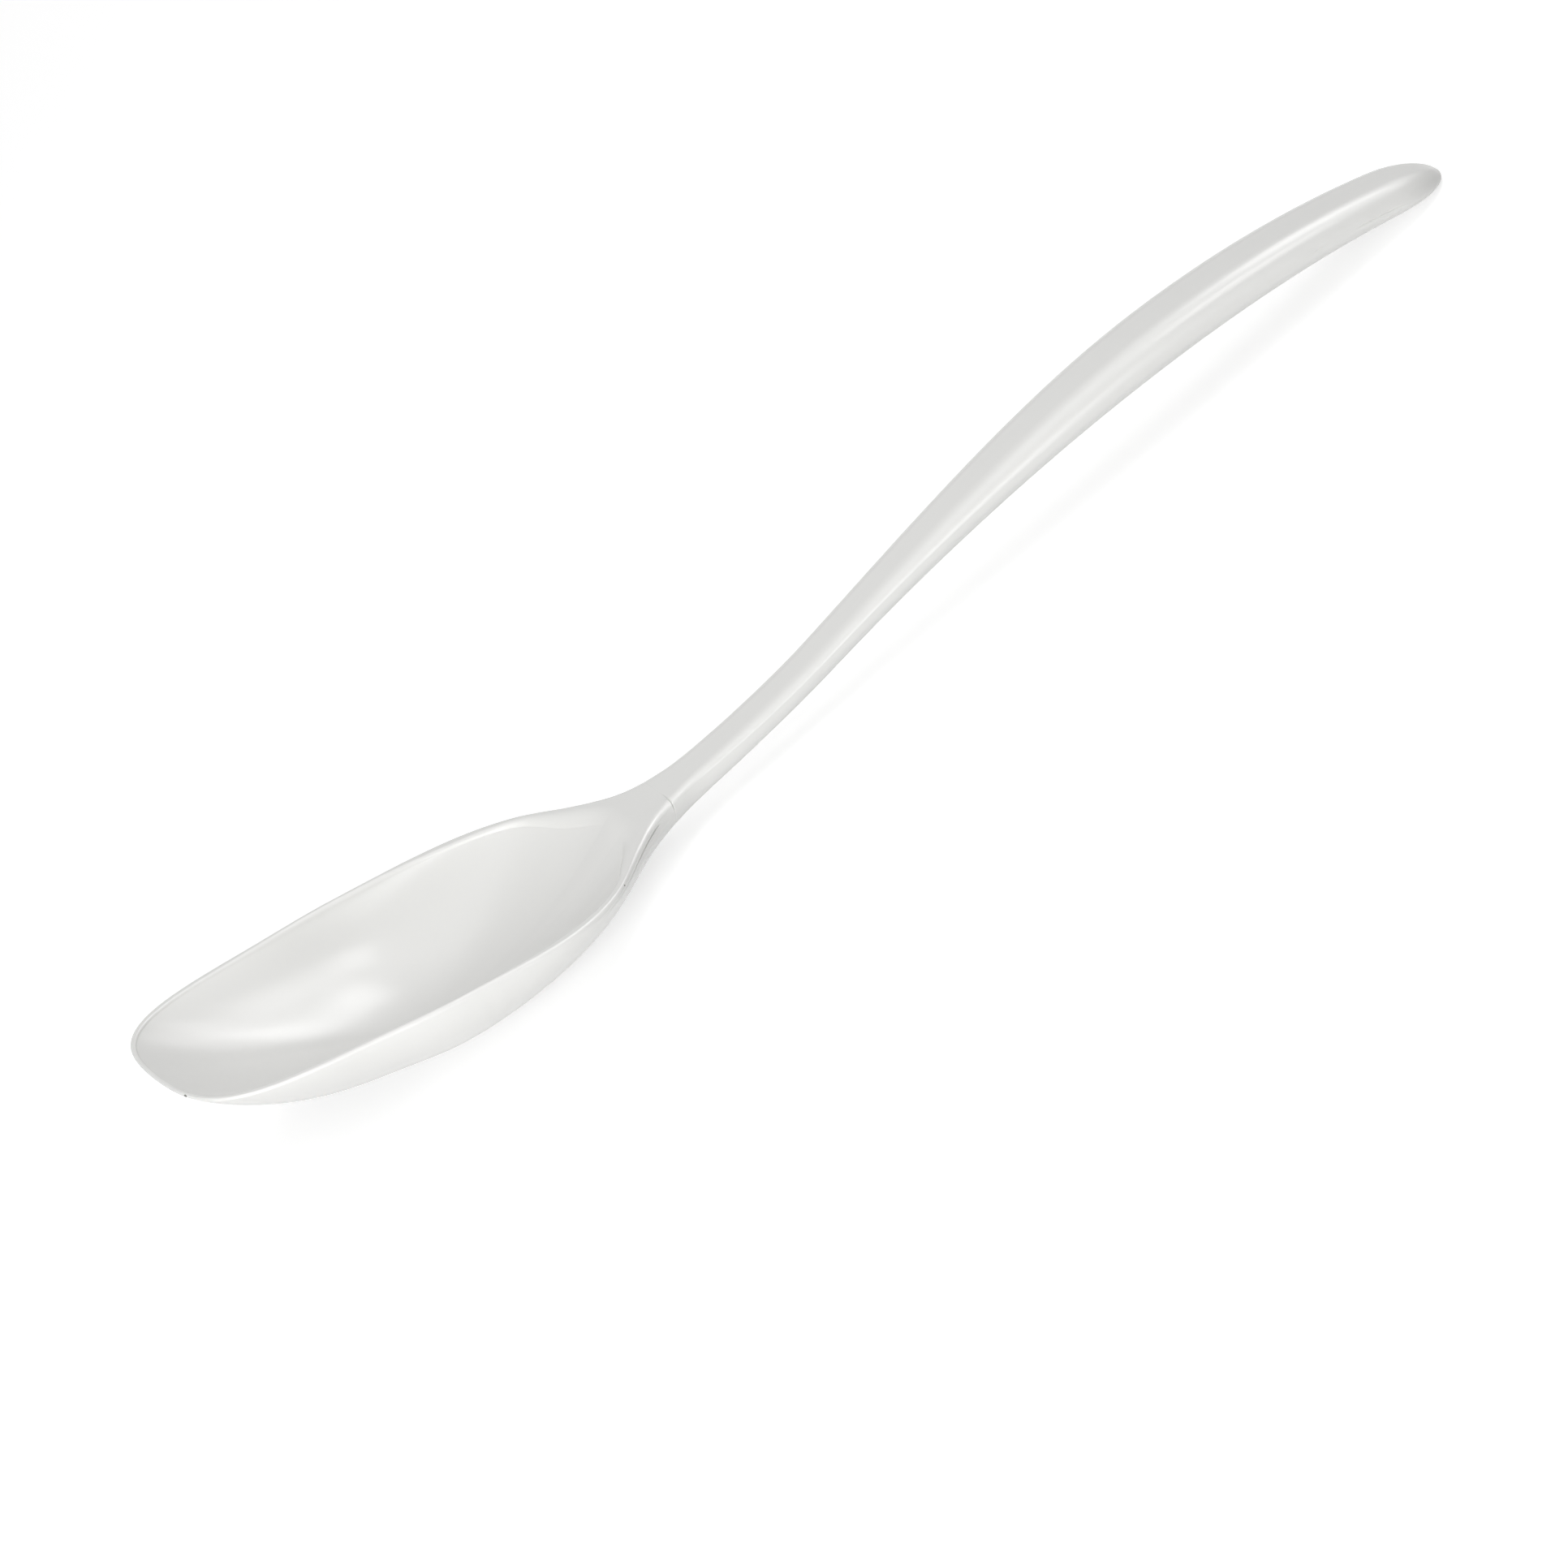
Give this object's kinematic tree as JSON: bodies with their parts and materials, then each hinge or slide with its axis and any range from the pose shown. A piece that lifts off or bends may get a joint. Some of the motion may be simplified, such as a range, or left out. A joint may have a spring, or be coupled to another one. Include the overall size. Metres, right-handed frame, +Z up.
{
  "type": "cooking spoon",
  "caption": "Long cooking spoon in glossy white moulded plastic, with a deep blunt-fronted bowl, a narrow neck and a curved rounded handle, for stirring and serving food.",
  "frame": {"origin": "centre of the spoon's length and width, on the table that it rests on", "axes": "+Z up from the table, +X along the spoon from the bowl towards the end of the handle, +Y across it"},
  "size_m": [0.3062, 0.0656, 0.0343],
  "materials": {
    "white_plastic": "gloss"
  },
  "bodies": {
    "root": {"bowl": "white_plastic", "handle": "white_plastic"}
  },
  "joints": []
}
